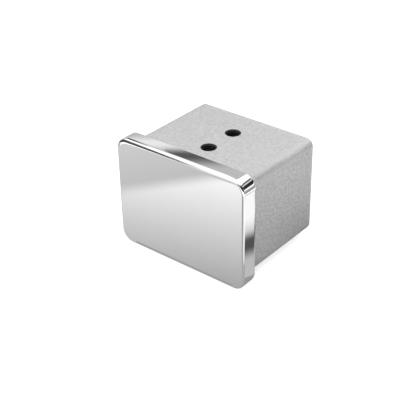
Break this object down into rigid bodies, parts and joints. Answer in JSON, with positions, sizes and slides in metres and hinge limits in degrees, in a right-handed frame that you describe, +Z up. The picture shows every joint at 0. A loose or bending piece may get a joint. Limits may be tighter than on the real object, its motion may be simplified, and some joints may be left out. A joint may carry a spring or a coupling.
{
  "type": "glass cap rail end cap",
  "caption": "Polished rectangular end plate on a slotted cast plug, closing the end of a slotted rail that caps a glass balustrade.",
  "frame": {"origin": "centre of the rail's section, on the plane of the plate's back face where the rail's cut end seats", "axes": "+X across the rail, +Y into the rail along its length, +Z up in use"},
  "size_m": [0.05, 0.0392, 0.038],
  "materials": {
    "cast_stainless": "plate polished to a mirror, plug left as cast and blasted to an even fine-grained matt grey"
  },
  "bodies": {
    "root": {"end_cap": "cast_stainless"}
  },
  "joints": []
}
